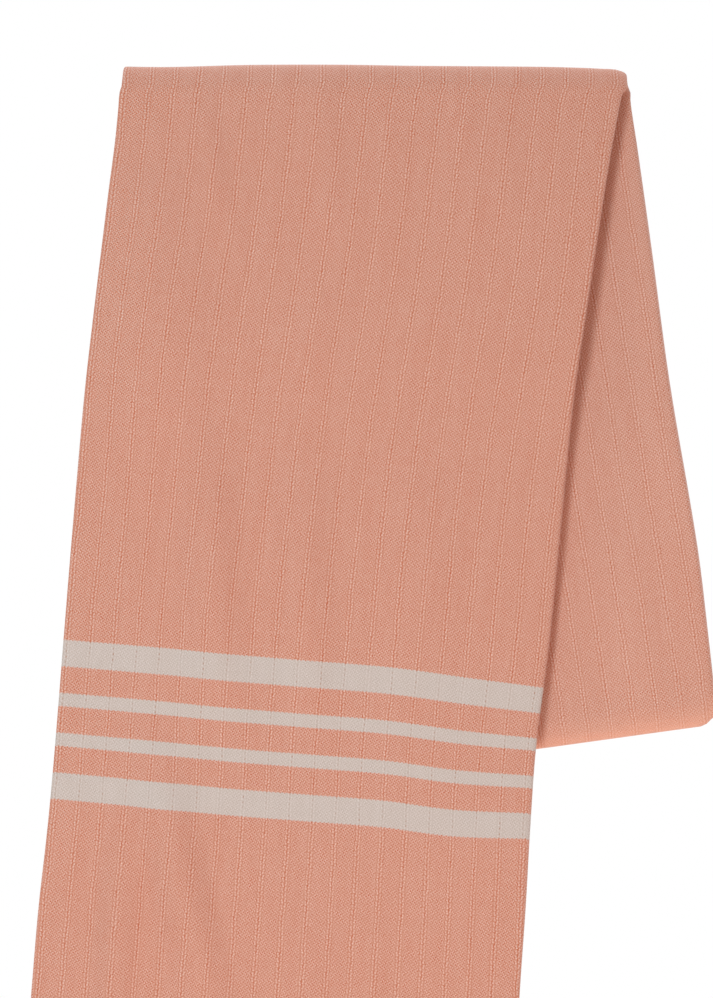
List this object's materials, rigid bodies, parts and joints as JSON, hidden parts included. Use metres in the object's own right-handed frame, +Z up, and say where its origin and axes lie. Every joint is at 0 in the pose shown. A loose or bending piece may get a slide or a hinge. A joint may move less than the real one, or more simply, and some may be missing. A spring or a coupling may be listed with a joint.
{
  "type": "hammam towel",
  "caption": "Flat-woven cotton hammam towel, folded lengthwise and crosswise and hung askew over an unseen thin bar, with the short tail behind and pale stripes across the long front tail.",
  "frame": {"origin": "middle of the line where the bar's top carries the cloth, under the crest", "axes": "+Z up, +X to the right along the bar as seen from the front, +Y from the front tail to the rear tail"},
  "size_m": [0.3489, 0.0308, 0.5613],
  "materials": {
    "towel_cloth": "matt woven cotton, salmon with greige stripes"
  },
  "bodies": {
    "root": {"towel": "towel_cloth"}
  },
  "joints": []
}
